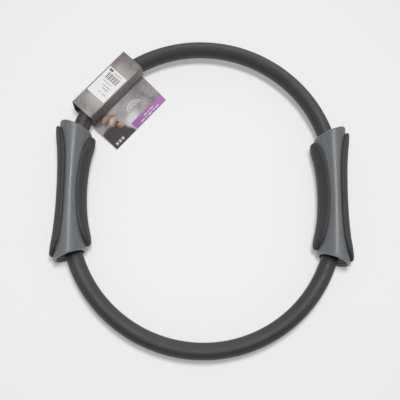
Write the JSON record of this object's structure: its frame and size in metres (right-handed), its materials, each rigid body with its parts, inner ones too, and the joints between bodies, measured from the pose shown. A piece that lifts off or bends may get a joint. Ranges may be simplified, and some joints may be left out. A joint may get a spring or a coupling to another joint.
{
  "type": "pilates ring",
  "caption": "Oval sprung exercise ring with a foam sleeve, flared handles padded inside and outside, and a folded card hang tag; squeezed between hands or knees.",
  "frame": {"origin": "the ring's centre on its mid-plane, midway between the handles and between the tops of both arcs", "axes": "+Z is the ring's normal and points up from the side it rests on, +X runs from the left handle to the right handle, +Y is the ring's long way"},
  "size_m": [0.3476, 0.3796, 0.05],
  "materials": {
    "handle_plastic": "satin",
    "hoop_foam": "matte",
    "pad_foam": "matte",
    "spring_steel": "satin",
    "steel": "satin",
    "clamp_plastic": "matte",
    "card": "satin",
    "sticker": "matte"
  },
  "bodies": {
    "left_handle": {"left_front_shell": "handle_plastic", "left_rear_shell": "handle_plastic", "left_outer_pad": "pad_foam", "left_inner_pad": "pad_foam", "left_clamp_block": "clamp_plastic", "left_clamp_plate": "steel", "left_leaf_outer": "spring_steel", "left_leaf_inner": "spring_steel", "left_clamp_bolt_upper": "steel", "left_clamp_bolt_lower": "steel", "left_shell_screw_1": "steel", "left_shell_screw_2": "steel", "left_shell_screw_3": "steel", "left_shell_screw_4": "steel"},
    "upper_left_arc": {"upper_left_foam": "hoop_foam", "upper_left_leaf_outer": "spring_steel", "upper_left_leaf_inner": "spring_steel"},
    "upper_right_arc": {"upper_right_foam": "hoop_foam", "upper_right_leaf_outer": "spring_steel", "upper_right_leaf_inner": "spring_steel"},
    "right_handle": {"right_front_shell": "handle_plastic", "right_rear_shell": "handle_plastic", "right_outer_pad": "pad_foam", "right_inner_pad": "pad_foam", "right_clamp_block": "clamp_plastic", "right_clamp_plate": "steel", "right_leaf_outer": "spring_steel", "right_leaf_inner": "spring_steel", "right_clamp_bolt_upper": "steel", "right_clamp_bolt_lower": "steel", "right_shell_screw_1": "steel", "right_shell_screw_2": "steel", "right_shell_screw_3": "steel", "right_shell_screw_4": "steel"},
    "lower_left_arc": {"lower_left_foam": "hoop_foam", "lower_left_leaf_outer": "spring_steel", "lower_left_leaf_inner": "spring_steel"},
    "lower_right_arc": {"lower_right_foam": "hoop_foam", "lower_right_leaf_outer": "spring_steel", "lower_right_leaf_inner": "spring_steel"},
    "tag": {"tag_card": "card", "tag_sticker": "sticker"}
  },
  "joints": [
    {"name": "squeeze", "type": "hinge", "parent": "left_handle", "child": "upper_left_arc", "pos_m": [-0.14972, 0.05982, 0], "axis": [0, 0, 1], "range_deg": [-4, 12], "stiffness_Nm_per_rad": 100},
    {"name": "upper_bend", "type": "hinge", "parent": "upper_left_arc", "child": "upper_right_arc", "pos_m": [0, 0.1802, 0], "axis": [0, 0, 1], "range_deg": [-24.2, 8.2]},
    {"name": "right_upper_flex", "type": "hinge", "parent": "upper_right_arc", "child": "right_handle", "pos_m": [0.14972, 0.05982, 0], "axis": [0, 0, 1], "range_deg": [-4.1, 12.1]},
    {"name": "left_lower_flex", "type": "hinge", "parent": "left_handle", "child": "lower_left_arc", "pos_m": [-0.14972, -0.05982, 0], "axis": [0, 0, 1], "range_deg": [-12.1, 4.1]},
    {"name": "lower_bend", "type": "hinge", "parent": "lower_left_arc", "child": "lower_right_arc", "pos_m": [0, -0.1802, 0], "axis": [0, 0, 1], "range_deg": [-8.2, 24.2]},
    {"name": "tag_spin", "type": "hinge", "parent": "upper_left_arc", "child": "tag", "pos_m": [-0.11219, 0.12616, 0], "axis": [-0.6626, -0.749, 0], "continuous": true}
  ],
  "couplings": [
    {"joint": "upper_bend", "follows": "squeeze", "ratio": -2},
    {"joint": "right_upper_flex", "follows": "squeeze", "ratio": 1},
    {"joint": "left_lower_flex", "follows": "squeeze", "ratio": -1},
    {"joint": "lower_bend", "follows": "squeeze", "ratio": 2}
  ]
}
